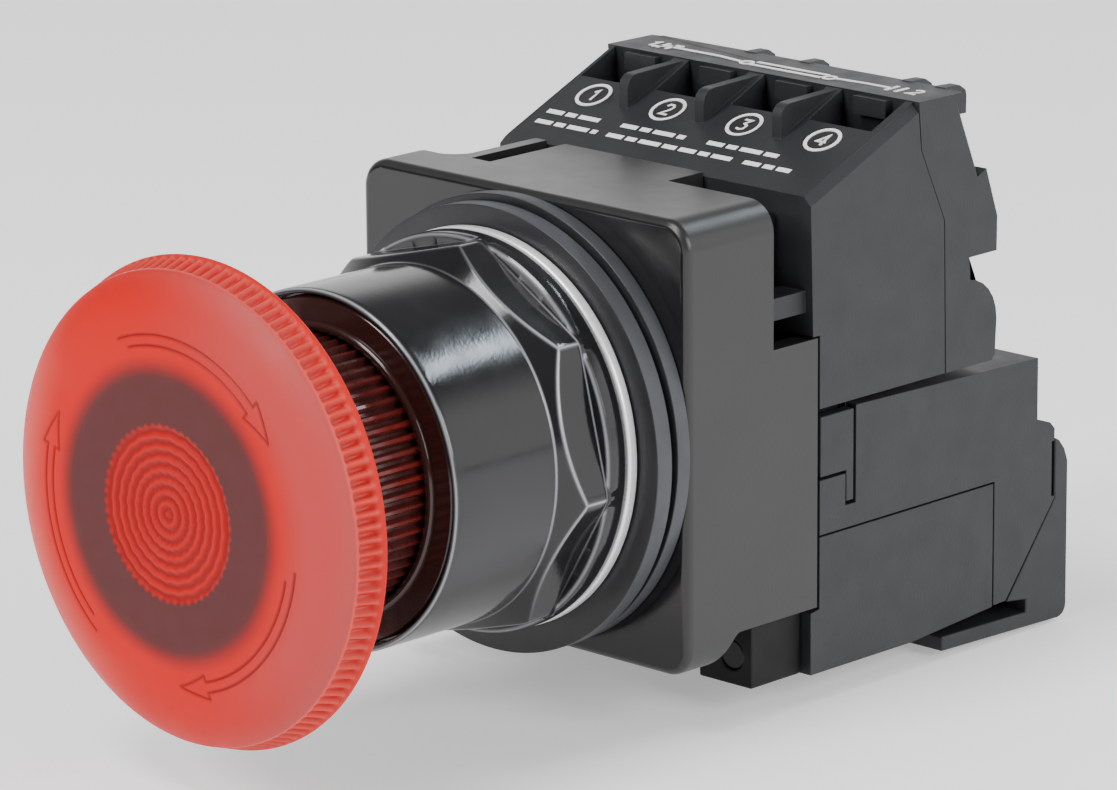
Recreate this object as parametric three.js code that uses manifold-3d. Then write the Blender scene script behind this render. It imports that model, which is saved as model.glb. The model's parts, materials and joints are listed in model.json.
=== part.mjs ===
// Emergency stop button for a 30.5 mm panel hole: an illuminated mushroom head that is pushed
// to latch and twisted to release, with a contact block and a lamp transformer behind it.
// Millimetres. X is right, Y goes back through the panel, Z is up. The origin is on the button
// axis, in the plane where the housing's front face meets the back of the panel.
import * as THREE from 'three';
import { mergeVertices } from 'three/addons/utils/BufferGeometryUtils.js';
import Module from 'manifold-3d';

const wasm = await Module();
wasm.setup();

// ---------------------------------------------------------------- driving dimensions
const GAP = 0.3;                       // clearance between pieces that rest on each other
const FINE = 48;                       // facets of the large turned pieces
const COARSE = 16;                     // facets of the small turned pieces

const PRESS_TRAVEL = 6.0;              // stroke of the head
const TWIST_TRAVEL = 45;               // degrees of release twist

const HEAD_R = 23.1;                   // widest radius of the mushroom head, at its rear rim
const HEAD_FRONT = -46.1;              // front face of the head
const HEAD_RIM = -41.0;                // plane of the widest radius
const SKIRT_R = 13.8;                  // skirt and plunger slide in the bushing
const SLEEVE_R = 12.1;                 // twisting sleeve inside the skirt
const BUSHING_BORE = 14.1;
const BUSHING_R = 15.0;                // threaded neck that passes through the panel
const NUT_FRONT = -26.4;
const NUT_BARREL_R = 17.36;
const NUT_FLAT = 18.1;                 // apothem of the octagon
const NUT_TURN = -8.5;                 // angle of one octagon corner, degrees
const STACK_BORE = 15.5;               // bore of the washer and gaskets

const HOUSING = { left: -21.5, right: 21.5, bottom: -22.0, top: 22.3, back: 18.3, corner: 3 };
const WALL = 2.2;

const BLOCK = { left: -19.4, right: 21.5 };      // contact block and lamp module, side to side
const BLOCK_MIDDLE = 0.8;                        // centre line between the terminals
const TERMINAL_PITCH = 10.1;
const TERMINAL_HALF = 4.1;                       // half width of a terminal window
const TERMINAL_COUNT = 4;
const PARTING_GAP = 0.15;

const MODULE_FRONT = 18.65;                      // front of the lamp module
const MODULE_SEAM = -11.7;                       // seam between its upper and lower shells

// ---------------------------------------------------------------- materials
const material = (color, roughness, metalness = 0, opacity = 1) => new THREE.MeshStandardMaterial({
  color, roughness, metalness, opacity, transparent: opacity < 1 });
const LOOK = {
  redLens: material(0xd8281e, 0.35, 0, 0.9),
  redSkirt: material(0x7a1512, 0.3, 0, 0.9),
  glossBlack: material(0x17171a, 0.25),
  mattGrey: material(0x4c4d50, 0.6),
  darkPlastic: material(0x2a2a2c, 0.5),
  rubber: material(0x38393b, 0.85),
  steel: material(0xb9bbbd, 0.3, 1),
  brass: material(0xb79a55, 0.35, 1),
  silver: material(0xd6d6d2, 0.25, 1),
  cream: material(0xe0dccb, 0.5),
  copper: material(0xa65a2f, 0.4, 1),
  glass: material(0xf2f4f5, 0.05, 0, 0.4),
};

// ---------------------------------------------------------------- shape helpers
// A closed three.js geometry becomes a manifold solid, turned outside out when needed.
function solid(geometry) {
  const bare = geometry.clone();
  bare.deleteAttribute('normal');
  bare.deleteAttribute('uv');
  const merged = mergeVertices(bare, 1e-4);
  const at = Float32Array.from(merged.attributes.position.array);
  const faces = [];
  const index = merged.index.array;
  let volume = 0;
  const corner = (i) => new THREE.Vector3(at[3 * i], at[3 * i + 1], at[3 * i + 2]);
  for (let i = 0; i < index.length; i += 3) {
    const [a, b, c] = [index[i], index[i + 1], index[i + 2]];
    if (a === b || b === c || c === a) continue;
    faces.push([a, b, c]);
    volume += corner(a).dot(corner(b).cross(corner(c)));
  }
  const triVerts = Uint32Array.from(faces.flatMap(([a, b, c]) => (volume < 0 ? [a, c, b] : [a, b, c])));
  return new wasm.Manifold(new wasm.Mesh({ numProp: 3, vertProperties: at, triVerts }));
}

const outline = (points) => new THREE.Shape(points.map(([u, v]) => new THREE.Vector2(u, v)));

// Extrudes an outline: along X it is drawn in (y, z), along Y in (x, z), along Z in (x, y).
function extrude(axis, points, from, to) {
  const geometry = new THREE.ExtrudeGeometry(outline(points), { depth: to - from, bevelEnabled: false });
  const [x, y, z] = [new THREE.Vector3(1, 0, 0), new THREE.Vector3(0, 1, 0), new THREE.Vector3(0, 0, 1)];
  const turn = new THREE.Matrix4();
  if (axis === 'x') turn.makeBasis(y, z, x).setPosition(from, 0, 0);
  if (axis === 'y') turn.makeBasis(x, z, y.clone().negate()).setPosition(0, to, 0);
  if (axis === 'z') turn.setPosition(0, 0, from);
  return solid(geometry.applyMatrix4(turn));
}

const box = (x0, x1, y0, y1, z0, z1) =>
  solid(new THREE.BoxGeometry(x1 - x0, y1 - y0, z1 - z0)
    .translate((x0 + x1) / 2, (y0 + y1) / 2, (z0 + z1) / 2));

// Turns a profile of [radius, height] points about the Y axis, then places it.
function turned(profile, facets, { x = 0, z = 0, upright = false } = {}) {
  const geometry = new THREE.LatheGeometry(profile.map(([r, h]) => new THREE.Vector2(r, h)), facets);
  if (upright) geometry.rotateX(Math.PI / 2);
  return solid(geometry.translate(x, 0, z));
}

const closed = (profile) => [...profile, profile[0]];
const ring = (inner, outer, from, to) =>
  closed([[inner, from], [outer, from], [outer, to], [inner, to]]);
const rod = (radius, from, to) => [[0, from], [radius, from], [radius, to], [0, to]];

// Points along an arc in outline coordinates; angles in degrees.
function arc(u, v, radius, start, end, steps) {
  const points = [];
  for (let i = 0; i <= steps; i += 1) {
    const angle = THREE.MathUtils.degToRad(start + ((end - start) * i) / steps);
    points.push([u + radius * Math.cos(angle), v + radius * Math.sin(angle)]);
  }
  return points;
}

function roundedRectangle(u0, u1, v0, v1, radius, steps = 6) {
  return [
    ...arc(u1 - radius, v1 - radius, radius, 0, 90, steps),
    ...arc(u0 + radius, v1 - radius, radius, 90, 180, steps),
    ...arc(u0 + radius, v0 + radius, radius, 180, 270, steps),
    ...arc(u1 - radius, v0 + radius, radius, 270, 360, steps),
  ];
}

// A pie slice about the Y axis, used to cut or keep part of a turned ring.
const slice = (start, end, radius, from, to) =>
  extrude('y', [[0, 0], ...arc(0, 0, radius, start, end, 8)], from, to);

// Cuts a 45 degree chamfer along an edge that lies at x and runs between two (y, z) points.
function chamfer(shape, x, [y0, z0], [y1, z1], leg) {
  const side = leg * Math.SQRT2;
  const length = Math.hypot(y1 - y0, z1 - z0);
  const cutter = new THREE.BoxGeometry(side, side, length).rotateZ(Math.PI / 4)
    .rotateX(-Math.atan2(y1 - y0, z1 - z0)).translate(x, (y0 + y1) / 2, (z0 + z1) / 2);
  return shape.subtract(solid(cutter));
}

class Helix extends THREE.Curve {
  constructor(radius, from, to, turns, x = 0, z = 0) {
    super();
    Object.assign(this, { radius, from, to, turns, x, z });
  }

  getPoint(t, target = new THREE.Vector3()) {
    const angle = 2 * Math.PI * this.turns * t;
    return target.set(this.x + this.radius * Math.cos(angle), this.from + (this.to - this.from) * t,
      this.z + this.radius * Math.sin(angle));
  }
}

function spring(radius, wire, from, to, turns, x = 0, z = 0, stepsPerTurn = 12) {
  const section = outline(arc(0, 0, wire / 2, 0, 288, 4));
  const path = new Helix(radius, from + wire / 2, to - wire / 2, turns, x, z);
  return solid(new THREE.ExtrudeGeometry(section, {
    steps: Math.round(turns * stepsPerTurn), extrudePath: path, bevelEnabled: false }));
}

const assembly = new THREE.Group();

function piece(name, look, shape, parent = assembly) {
  const data = shape.getMesh();
  const geometry = new THREE.BufferGeometry();
  const count = data.vertProperties.length / data.numProp;
  const positions = new Float32Array(count * 3);
  for (let i = 0; i < count; i += 1) {
    for (let k = 0; k < 3; k += 1) positions[3 * i + k] = data.vertProperties[i * data.numProp + k];
  }
  geometry.setAttribute('position', new THREE.BufferAttribute(positions, 3));
  geometry.setIndex(new THREE.BufferAttribute(Uint32Array.from(data.triVerts), 1));
  geometry.computeVertexNormals();
  const mesh = new THREE.Mesh(geometry, look);
  mesh.name = name;
  parent.add(mesh);
  return mesh;
}

// ---------------------------------------------------------------- mushroom head
function buildHead() {
  const shellInside = HEAD_FRONT + 2.1;
  piece('mushroom_lens', LOOK.redLens, turned([
    [0, HEAD_FRONT], [9, HEAD_FRONT], [14, HEAD_FRONT + 0.05], [17.5, HEAD_FRONT + 0.25],
    [19.6, HEAD_FRONT + 0.8], [21.2, HEAD_FRONT + 1.6], [22.2, HEAD_FRONT + 2.6],
    [HEAD_R, HEAD_RIM], [HEAD_R - 0.15, HEAD_RIM + 0.8], [HEAD_R - 0.8, HEAD_RIM + 1.3],
    [20.7, HEAD_RIM + 1.3], [20.7, HEAD_RIM - 1.6], [19.6, HEAD_RIM - 2.4],
    [17, HEAD_RIM - 2.8], [0, shellInside]], FINE));
  piece('lens_gasket', LOOK.rubber, turned(ring(16, 20.2, HEAD_RIM - 1.3, HEAD_RIM - 0.8), FINE));
  piece('lens_skirt', LOOK.redSkirt, turned(closed([
    [20.4, HEAD_RIM - 0.6], [20.4, HEAD_RIM + 1.1], [14.6, HEAD_RIM + 1.8],
    [SKIRT_R, HEAD_RIM + 2.6], [SKIRT_R, -18], [SLEEVE_R + GAP, -18],
    [SLEEVE_R + GAP, HEAD_RIM - 0.6]]), FINE));
  const shoulder = { radius: 8.1, front: -18, back: -16.3 };
  const sleeveBore = SLEEVE_R - 1.7;
  piece('twist_sleeve', LOOK.steel, turned(closed([
    [SLEEVE_R, HEAD_RIM], [SLEEVE_R, 7.6], [sleeveBore, 7.6], [sleeveBore, shoulder.back],
    [shoulder.radius, shoulder.back], [shoulder.radius, shoulder.front],
    [sleeveBore, shoulder.front], [sleeveBore, HEAD_RIM]]), 40));
}

// Three cam teeth reach back into wide slots in the front of the plunger.
const CAM = { front: -17.7, face: -11.6, tip: -8.9, tooth: 25, count: 3, slack: 3 };

function buildPlunger() {
  let cam = turned(ring(SLEEVE_R + GAP, SKIRT_R - 0.1, CAM.front, CAM.face), FINE);
  const crown = turned(ring(SLEEVE_R + GAP, SKIRT_R - 0.1, CAM.face - 1, CAM.tip), FINE);
  let sleeve = turned(ring(SLEEVE_R + GAP, SKIRT_R, CAM.face + GAP, 7.7), FINE);
  for (let i = 0; i < CAM.count; i += 1) {
    const start = 30 + (360 / CAM.count) * i;
    cam = cam.add(crown.intersect(slice(start, start + CAM.tooth, 2 * SKIRT_R, CAM.face - 1, CAM.tip)));
    sleeve = sleeve.subtract(slice(start - TWIST_TRAVEL - CAM.slack, start + CAM.tooth + CAM.slack,
      2 * SKIRT_R, CAM.face - 1, CAM.tip + GAP));
  }
  piece('release_cam', LOOK.brass, cam);
  piece('plunger_sleeve', LOOK.darkPlastic, sleeve);

  const plateHalf = 14.5;
  const plate = extrude('y', roundedRectangle(-plateHalf, plateHalf, -plateHalf, plateHalf, 3), 7.9, 9.4);
  piece('actuator_plate', LOOK.steel, plate.subtract(turned(rod(10.5, 7, 10), 40)));
  piece('return_spring', LOOK.steel, spring(9.2, 1.0, -16.0, 15.3, 8));
}

// ---------------------------------------------------------------- neck, nut and seals
function buildNeck() {
  piece('operator_bushing', LOOK.glossBlack, turned(closed([
    [BUSHING_BORE, -24.4], [BUSHING_R, -24.4], [BUSHING_R, 2.8], [16.5, 2.8], [16.5, 4.8],
    [BUSHING_BORE, 4.8]]), FINE));
  piece('wiper_seal', LOOK.rubber, turned(closed([
    [BUSHING_BORE + 0.1, -26.1], [16.2, -26.25], [16.5, -26.0], [16.5, -25.2],
    [BUSHING_BORE + 0.1, -24.7]]), FINE));

  const octagon = [];
  const cornerRadius = NUT_FLAT / Math.cos(Math.PI / 8);
  for (let i = 0; i < 8; i += 1) {
    const angle = THREE.MathUtils.degToRad(NUT_TURN + 45 * i);
    octagon.push([cornerRadius * Math.cos(angle), cornerRadius * Math.sin(angle)]);
  }
  const chamfered = turned([[0, -14.1], [16.6, -14.1], [19.6, -11.1], [19.6, -7.4], [0, -7.4]], FINE);
  const grip = extrude('y', octagon, -14.1, -7.4).intersect(chamfered);
  const barrel = turned([[0, NUT_FRONT], [16.9, NUT_FRONT], [NUT_BARREL_R, NUT_FRONT + 0.45],
    [NUT_BARREL_R, -8.4], [0, -8.4]], FINE);
  const flange = turned([[0, -8.4], [18.9, -8.4], [19.4, -7.9], [19.4, -5.9], [0, -5.9]], FINE);
  const bore = turned([[0, -27], [16.8, -27], [16.8, -24.6], [BUSHING_R + GAP, -24.6],
    [BUSHING_R + GAP, -5], [0, -5]], FINE);
  piece('ring_nut', LOOK.glossBlack, barrel.add(grip).add(flange).subtract(bore));

  piece('metal_washer', LOOK.steel, turned(ring(STACK_BORE, 19.7, -5.7, -4.5), FINE));
  piece('front_gasket', LOOK.rubber, turned(ring(STACK_BORE, 21.8, -4.35, -2.35), FINE, { z: -0.4 }));
  piece('rear_gasket', LOOK.rubber, turned(ring(STACK_BORE, 22.0, -1.8, -0.1), FINE));
}

// ---------------------------------------------------------------- housing
function buildHousing() {
  const { left, right, bottom, top, back, corner } = HOUSING;
  const edge = 1.1;
  const body = extrude('y', roundedRectangle(left, right, bottom, top, corner), edge, back);
  const lip = extrude('y', roundedRectangle(left + edge / 2, right - edge / 2, bottom + edge / 2,
    top - edge / 2, corner - edge / 2), edge / 3, back);
  const face = extrude('y', roundedRectangle(left + edge, right - edge, bottom + edge, top - edge,
    corner - edge), 0, back);
  const frontWall = 2.5;
  const cavity = box(left + WALL, right - WALL, frontWall, back + 1, -16.9, top - WALL);
  const neckHole = turned(rod(BUSHING_R + GAP + 0.1, -1, frontWall + 1), FINE);

  // The underside rises in an S-curve, and both upper rear corners are cut away.
  const underside = extrude('x', [[back + 1, bottom - 1], [back + 1, -18.7], [7.3, -18.7],
    [6.2, -19.3], [5.0, -20.8], [4.2, -21.45], [3.4, bottom - 1]], left - 1, right + 1);
  const rightNotch = box(7.9, right + 1, 12, back + 1, 8, top + 1);
  const topBack = box(-14.5, 8, 17.0, back + 1, 8, top + 1);
  const leftNotch = extrude('z', [[left - 1, 5.9], [-16.4, 5.9], [-15.2, 6.6], [-14.4, 8.0],
    [-14.4, back + 1], [left - 1, back + 1]], 8, top + 1);
  const slot = box(-12.9, -10.4, 6.5, back + 1, top - WALL - 1, top + 1);
  let shell = body.add(lip).add(face).subtract(cavity).subtract(neckHole).subtract(underside);
  for (const cut of [rightNotch, topBack, leftNotch, slot]) shell = shell.subtract(cut);
  shell = shell.add(box(right - 0.9, right, 11.5, 12.6, 16, 20.8));
  piece('housing', LOOK.glossBlack, shell);

  const plungerSlot = (x) => box(x - ROD.half - 0.4, x + ROD.half + 0.4, 15, 17.5, ROD.low - 0.4,
    ROD.high + 0.4);
  let plate = box(-19, 17.2, 15.6, 16.9, -16.6, 19.8);
  for (const cut of [plungerSlot(PLUNGER_X[0]), plungerSlot(PLUNGER_X[1]),
    turned(rod(7.9, 15, 17.5), 32), box(-4.3, 4.3, 15, 17.5, -10.4, 0),
    turned(rod(1.8, 15, 17.5), COARSE, { x: BLOCK_MIDDLE, z: SCREW_Z.long })]) plate = plate.subtract(cut);
  piece('mounting_plate', LOOK.darkPlastic, plate);

  const latch = turned(ring(14.2, 15.6, 5.2, 6.6), FINE);
  piece('latch_ring', LOOK.steel, latch.subtract(slice(250, 290, 30, 5, 7)));
}

// ---------------------------------------------------------------- contact block
const SCREW_Z = { long: 16.4, short: 4.4 };            // heights of the two block screws
const terminalX = (i) => BLOCK_MIDDLE + TERMINAL_PITCH * (i - (TERMINAL_COUNT - 1) / 2);
const PLUNGER_X = [BLOCK_MIDDLE - TERMINAL_PITCH, BLOCK_MIDDLE + TERMINAL_PITCH];
const COLUMN_HALF = 2.2;                               // half width of the central column
const CHAMBER = { front: 19.6, back: 38.6, bottom: 2.8, top: 15.6 };
const CONTACT_LOW = 6.0;                               // lower end of the fixed contacts
const RIB_ENDS = [-4.8, 2.4, 15.7, 20.0];              // right ends of the ribs on the rear edge
const RIB_WIDTH = 4.0;
const ROD = { half: 2.2, low: 7, high: 13 };           // section of the two contact push rods

// The seam between the front and rear shells, bottom to top, moved back by an offset.
const seam = (offset) => [[36.9 + offset, 1.05], [36.55 + offset, 16.3], [33.06 + offset, 23.8],
  [32.6 + offset, 28.4]];

function chamberCut(from, to) {
  const left = box(BLOCK.left + 1.6, BLOCK_MIDDLE - COLUMN_HALF, from, to, CHAMBER.bottom, CHAMBER.top);
  return left.add(box(BLOCK_MIDDLE + COLUMN_HALF, BLOCK.right - 1.6, from, to, CHAMBER.bottom,
    CHAMBER.top));
}

function buildContactBlock() {
  const screwBore = (z, from, radius = 1.8) =>
    turned(rod(radius, from, 50), COARSE, { x: BLOCK_MIDDLE, z });

  let front = extrude('x', [...seam(-PARTING_GAP), [17.2, 21.8], [17.6, 8.3], [18.6, 8.3],
    [18.6, 1.05]], BLOCK.left, BLOCK.right);
  front = front.subtract(chamberCut(CHAMBER.front, 40));
  for (let i = 0; i < TERMINAL_COUNT; i += 1) {
    const x = terminalX(i);
    const pocket = [[27.5, 30], [27.5, 23.6], [24.6, 23.6], [24.6, 17.4], [31.8, 17.4], [31.8, 24],
      [34, 24], [34, 30]];
    front = front.subtract(extrude('x', pocket, x - TERMINAL_HALF, x + TERMINAL_HALF));
    const legY = i < 2 ? 26.3 : 31.1;
    front = front.subtract(box(x - 2.7, x + 2.7, legY - 0.5, legY + 0.5, CHAMBER.top - 1, 18));
  }
  for (const x of PLUNGER_X) {
    front = front.subtract(box(x - ROD.half - 0.25, x + ROD.half + 0.25, 16, 20, ROD.low - GAP,
      ROD.high + GAP));
  }
  for (const x of [BLOCK.left, BLOCK.right]) front = chamfer(front, x, [14, 20.44], [36, 29.82], 0.8);
  front = front.subtract(screwBore(SCREW_Z.long, 16)).subtract(screwBore(SCREW_Z.short, 22, 1.7));
  const finProfile = [[24.2, 24.5], [24.2, 26.4], ...arc(25.4, 26.9, 1.2, 180, 90, 3), [32.4, 28.3],
    [32.4, 24.5]];
  for (let i = -1; i <= 1; i += 1) {
    const x = BLOCK_MIDDLE + TERMINAL_PITCH * i;
    front = front.add(extrude('x', finProfile, x - 0.5, x + 0.5));
  }
  front = front.add(box(17.6, 20.6, 12.3, 18.5, 10.6, 12.6));
  piece('contact_front_case', LOOK.mattGrey, front);

  const rearOutline = [[32.6 + PARTING_GAP, 28.5], [39.3, 28.5], [39.6, 27.7], [42.7, 20.3],
    [44.35, 15.4], [44.35, 12.0], [40.2, 12.0], [40.2, 9.6], ...arc(39.9, 5.1, 4.5, 86, 0, 6),
    [44.2, 1.5], [43.8, 1.05], ...seam(PARTING_GAP).slice(0, 3)];
  let rear = extrude('x', rearOutline, BLOCK.left, BLOCK.right).subtract(chamberCut(30, CHAMBER.back));
  rear = rear.subtract(screwBore(SCREW_Z.long, 30)).subtract(screwBore(SCREW_Z.short, 30));
  for (const z of [SCREW_Z.long, SCREW_Z.short]) rear = rear.subtract(screwBore(z, 41.5, 2.9));
  for (const x of [BLOCK.left, BLOCK.right]) rear = chamfer(rear, x, [39.25, 28.6], [42.7, 20.3], 1.5);
  const rib = [[37.9, 27.8], [38.8, 28.6], ...arc(40.3, 27.7, 1.0, 90, 0, 3), [41.3, 26.0], [39.0, 26.0]];
  for (const end of RIB_ENDS) {
    const ramp = [[end - RIB_WIDTH, 25], [end, 25], [end, 28.2], [end - 0.4, 28.6], [end - 1.2, 28.65],
      [end - RIB_WIDTH, 27.9]];
    rear = rear.add(extrude('x', rib, end - RIB_WIDTH, end).intersect(extrude('y', ramp, 37, 42)));
  }
  for (let i = 0; i < TERMINAL_COUNT; i += 1) {
    rear = rear.add(box(terminalX(i) - 2, terminalX(i) + 2, 31.9, 33.2, 26.6, 28.2));
  }
  piece('contact_rear_case', LOOK.mattGrey, rear);

  for (let i = 0; i < TERMINAL_COUNT; i += 1) buildTerminal(i);
  buildContactMotion();

  const blockScrew = (z, tip) => turned([[0, tip], [1.5, tip], [1.5, 41.8], [2.5, 41.8],
    [2.5, 43.3], [0, 43.3]], COARSE, { x: BLOCK_MIDDLE, z });
  piece('block_screw_long', LOOK.steel, blockScrew(SCREW_Z.long, 15.9));
  piece('block_screw_short', LOOK.steel, blockScrew(SCREW_Z.short, 23));
}

// One terminal: a fixed contact strip, a clamp plate over its tab and a screw through both.
function buildTerminal(i) {
  const x = terminalX(i);
  const screwY = 28.7;
  const tab = [[25.0, 17.7], [25.0, 18.3], [31.4, 18.3]];
  const closing = [[26.6, CONTACT_LOW], [26.0, CONTACT_LOW], [26.0, 17.7]];
  const opening = [[31.4, 12.9], [33.6, 12.9], [33.6, CONTACT_LOW], [33.0, CONTACT_LOW],
    [33.0, 12.3], [30.8, 12.3], [30.8, 17.7]];
  const strip = i < 2 ? [...tab, [31.4, 17.7], [26.6, 17.7], ...closing] : [...tab, ...opening];
  const hole = (radius) => turned(rod(radius, -24, -10), COARSE, { x, upright: true }).translate([0, screwY, 0]);
  const flipHole = (radius) => hole(radius).mirror([0, 0, 1]);
  const name = `${i + 1}`;
  piece(`fixed_contact_${name}`, LOOK.brass,
    extrude('x', strip, x - 2.4, x + 2.4).subtract(flipHole(1.9)));
  piece(`terminal_clamp_${name}`, LOOK.steel,
    box(x - 3.6, x + 3.6, screwY - 2.9, screwY + 2.9, 18.6, 19.6).subtract(flipHole(1.9)));
  const head = turned([[0, 17.55], [1.6, 17.55], [1.6, 19.9], [2.9, 19.9], [2.9, 21.2], [2.3, 21.6],
    [0, 21.6]], COARSE, { x }).rotate([90, 0, 0]).translate([0, screwY, 0]);
  piece(`terminal_screw_${name}`, LOOK.steel,
    head.subtract(box(x - 3, x + 3, screwY - 0.4, screwY + 0.4, 20.7, 22)));
}

// Two push rods work the contacts: the left pair opens when pressed, the right pair closes.
function buildContactMotion() {
  const [openX, closeX] = PLUNGER_X;
  const middle = (ROD.low + ROD.high) / 2;
  const bar = (x, back) => box(x - ROD.half, x + ROD.half, 9.7, back, ROD.low, ROD.high)
    .add(box(x - ROD.half, x + ROD.half, 20, 21.2, ROD.low - 1, ROD.high + 1));
  piece('break_rod', LOOK.cream, bar(openX, 26.6));
  piece('make_rod', LOOK.cream,
    bar(closeX, 31.2).subtract(box(closeX - 3, closeX + 3, 23.7, 29.7, middle - 1.9, middle + 1.9)));

  const bridge = (x, from) => box(x - 7.4, x + 7.4, from, from + 1, middle - 1.6, middle + 1.6);
  piece('break_bridge', LOOK.silver, bridge(openX, 26.9));
  piece('make_bridge', LOOK.silver, bridge(closeX, 28.4));
  piece('break_spring', LOOK.steel, spring(1.9, 0.5, 28.1, 38.3, 5, openX, middle, 10));
  piece('make_spring', LOOK.steel, spring(1.4, 0.4, 23.9, 28.2, 3.5, closeX, middle, 10));
}

// ---------------------------------------------------------------- lamp and lamp module
function buildLamp() {
  const tube = turned([[0, 14], [5.2, 14], [5.2, -27], [7.4, -27], [7.4, 17], [0, 17]], 32);
  piece('lamp_socket', LOOK.cream, tube.add(box(-3.9, 3.9, 15.8, 18.35, -10, -4)));
  piece('lamp_base', LOOK.brass, turned([[0, -24], [4.7, -24], [4.7, -14.2], [4.0, -13.5],
    [1.6, -13.5], [1.2, -13.0], [0, -13.0]], COARSE));
  const tip = arc(0, -32.3, 4.9, -90, 0, 5).map(([r, y]) => [Math.max(r, 0), y]);
  tip[0][0] = 0;
  piece('lamp_bulb', LOOK.glass, turned([...tip, [4.9, -27.5], [4.5, -24.3], [0, -24.3]], COARSE));
  piece('socket_contact', LOOK.brass, turned([[0, -12.7], [2.2, -12.7], [2.2, -6], [1.2, -5.2],
    [1.2, 13.7], [0, 13.7]], COARSE));
}

const LATCH = { depth: 1.2, travel: 0.8 };
const latchOutline = (grow) => [[MODULE_FRONT - 0.15 + 0.25 - grow, 0.1 + grow * 4],
  [23.55 + grow, 0.1 + grow * 4], [23.55 + grow, -9.0 - grow], [22.5 - grow, -9.0 - grow],
  [22.5 - grow, -5.9 - grow], [MODULE_FRONT + 0.1 - grow * 2, -5.9 - grow]];

function buildLampModule() {
  const { left, right } = BLOCK;
  const upperOutline = [[MODULE_FRONT, 0.45], [51.0, -0.3], [51.0, -6.6], [53.0, -7.3], [53.7, -8.0],
    [53.7, -15.2], [46.4, -24.2], [44.6, -24.3], [44.6, MODULE_SEAM + PARTING_GAP],
    [MODULE_FRONT, MODULE_SEAM + PARTING_GAP]];
  let upper = extrude('x', upperOutline, left, right);
  upper = upper.subtract(box(left + 1.6, right - 3.2, 20.3, 43.2, -13, -1.6));
  upper = upper.subtract(box(left + 1.6, right - 1.6, 25.4, 43.2, -13, -1.6));
  upper = upper.subtract(extrude('x', latchOutline(0.15), right - LATCH.depth - LATCH.travel - GAP,
    right + 1));
  for (const x of MODULE_TERMINAL_X) upper = upper.subtract(box(x - 3.8, x + 3.8, 46.6, 52.4, -26, -14.6));
  piece('lamp_case_upper', LOOK.mattGrey, upper);
  piece('latch_tab', LOOK.mattGrey, extrude('x', latchOutline(0), right - LATCH.depth, right));

  const lowerTop = MODULE_SEAM - PARTING_GAP;
  const lowerOutline = [[MODULE_FRONT, lowerTop], [MODULE_FRONT, -19.0], [17.4, -19.2], [17.4, -25.3],
    [32, -25.3], [44.3, -24.4], [44.3, lowerTop]];
  const lower = extrude('x', lowerOutline, left, right)
    .subtract(box(left + 1.6, right - 5.4, 20.3, 42.7, -23.4, lowerTop + 1))
    .subtract(box(left + 1.6, right - 1.6, 27, 42.7, -23.4, lowerTop + 1))
    .subtract(turned(rod(1.5, 17, 25), COARSE, { x: LUG.screwX, z: LUG.screwZ }));
  piece('lamp_case_lower', LOOK.mattGrey, lower);

  const coverOutline = [[53.95, -9.0], [54.7, -9.4], [55.5, -10.4], [56, -11.7],
    ...arc(54.7, -26.6, 1.3, 0, -90, 5), [36.8, -27.4], [36.8, -25.9], [49.7, -26.2], [49.7, -24.9], [46.7, -24.5],
    [53.95, -15.4]];
  const coverInside = [[54.5, -10.8], [54.5, -26.3], [50.2, -26.3], [50.2, -24.4], [46, -24.4],
    [46, -20], [52, -10.8]];
  piece('rear_cover', LOOK.mattGrey, extrude('x', coverOutline, left, right)
    .subtract(extrude('x', coverInside, left + 1.4, right - 1.4)));

  const middle = (left + right) / 2;
  const coreY = [27, 37];
  const window = (side) => box(middle + side * 6.5 - 3, middle + side * 6.5 + 3, 26, 38, -17, -8);
  piece('transformer_core', LOOK.steel,
    box(middle - 14, middle + 14, coreY[0], coreY[1], -20.5, -4.5).subtract(window(-1)).subtract(window(1)));
  piece('transformer_coil', LOOK.copper,
    extrude('z', roundedRectangle(middle - 9.1, middle + 9.1, 22.8, 41.2, 2), -16.6, -8.4)
      .subtract(box(middle - 3.9, middle + 3.9, coreY[0] - GAP, coreY[1] + GAP, -18, -7)));

  MODULE_TERMINAL_X.forEach((x, i) => {
    const side = ['left', 'right'][i];
    piece(`lamp_clamp_${side}`, LOOK.steel, box(x - 3.2, x + 3.2, 46.9, 52.1, -16.1, -15.1));
    const screw = turned([[0, -18.7], [2.0, -18.7], [2.4, -18.3], [2.4, -16.4], [0, -16.4]], COARSE,
      { x }).rotate([90, 0, 0]).translate([0, 49.5, 0]);
    piece(`lamp_screw_${side}`, LOOK.steel, screw.subtract(box(x - 3, x + 3, 49.1, 49.9, -20, -18)));
  });

  piece('bracket_lug', LOOK.glossBlack, box(13.7, 20.5, 10, 17.1, -25.3, -19)
    .subtract(turned(rod(1.5, 9, 18), COARSE, { x: LUG.screwX, z: LUG.screwZ })));
  piece('bracket_screw', LOOK.steel, turned([[0, 10.5], [1.2, 10.5], [1.2, 24], [0, 24]], COARSE, { x: LUG.screwX, z: LUG.screwZ }));
}

const MODULE_TERMINAL_X = [-9, 11];
const LUG = { screwX: 18.0, screwZ: -22.3 };

buildHead();
buildPlunger();
buildNeck();
buildHousing();
buildContactBlock();
buildLamp();
buildLampModule();

export default assembly;
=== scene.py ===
"""Looks of the emergency stop button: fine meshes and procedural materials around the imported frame.

Lengths are written in millimetres and multiplied by MM where Blender needs metres.
The button axis is Y, the head faces -Y, Z is up.
"""
import json
import math
from itertools import cycle

import bmesh
import bpy
from mathutils import Matrix, Vector


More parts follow.
